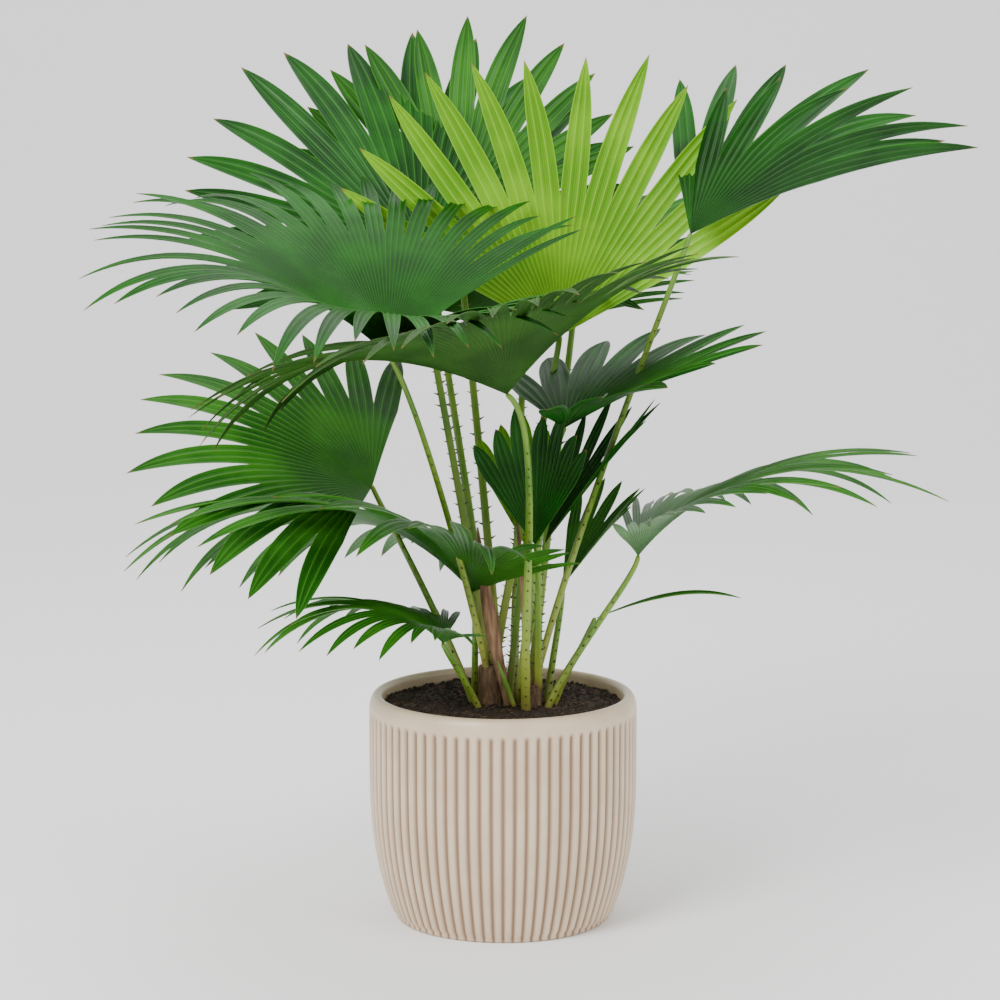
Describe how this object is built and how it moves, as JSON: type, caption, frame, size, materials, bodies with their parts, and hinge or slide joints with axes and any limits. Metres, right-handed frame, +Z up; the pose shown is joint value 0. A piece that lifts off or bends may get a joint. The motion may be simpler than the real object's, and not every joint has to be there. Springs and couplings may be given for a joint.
{
  "type": "potted footstool palm",
  "caption": "Clump-forming fan palm with round pleated leaves on spiny stalks, standing in a round fluted ceramic pot.",
  "frame": {"origin": "centre of the pot's flat underside", "axes": "+Z up, -Y towards the front of the pictured side, +X to its right"},
  "size_m": [0.822, 0.8099, 0.8187],
  "materials": {
    "glaze": "satin",
    "potting_mix": "matte",
    "stem": "matte",
    "sheath": "matte",
    "stalk": "satin",
    "dark_leaf": "satin",
    "mid_leaf": "satin",
    "young_leaf": "satin"
  },
  "bodies": {
    "root": {"pot": "glaze", "potting_mix": "potting_mix", "stem_left": "stem", "stem_right": "stem", "sheath_left": "sheath", "sheath_right": "sheath", "spear": "stalk", "stalk_young_fan": "stalk", "stalk_front_cup": "stalk", "stalk_left_cup": "stalk", "stalk_high_right": "stalk", "stalk_high_left": "stalk", "stalk_left_arch": "stalk", "stalk_right_arch": "stalk", "stalk_left_fan": "stalk", "stalk_right_dark": "stalk", "stalk_low_left": "stalk", "stalk_centre_folded": "stalk", "stalk_right_low_fan": "stalk", "stalk_right_back_fan": "stalk", "stalk_centre_young": "stalk", "stalk_strap": "stalk", "stalk_high_back": "stalk", "stalk_back_mid": "stalk", "stalk_back_right": "stalk", "stalk_back_left": "stalk", "leaf_young_fan": "young_leaf", "leaf_front_cup": "dark_leaf", "leaf_left_cup": "dark_leaf", "leaf_high_right": "dark_leaf", "leaf_high_left": "dark_leaf", "leaf_left_arch": "mid_leaf", "leaf_right_arch": "mid_leaf", "leaf_left_fan": "mid_leaf", "leaf_right_dark": "dark_leaf", "leaf_low_left": "mid_leaf", "leaf_centre_folded": "dark_leaf", "leaf_right_low_fan": "mid_leaf", "leaf_right_back_fan": "dark_leaf", "leaf_centre_young": "young_leaf", "leaf_strap": "mid_leaf", "leaf_high_back": "mid_leaf", "leaf_back_mid": "mid_leaf", "leaf_back_right": "mid_leaf", "leaf_back_left": "mid_leaf"}
  },
  "joints": []
}
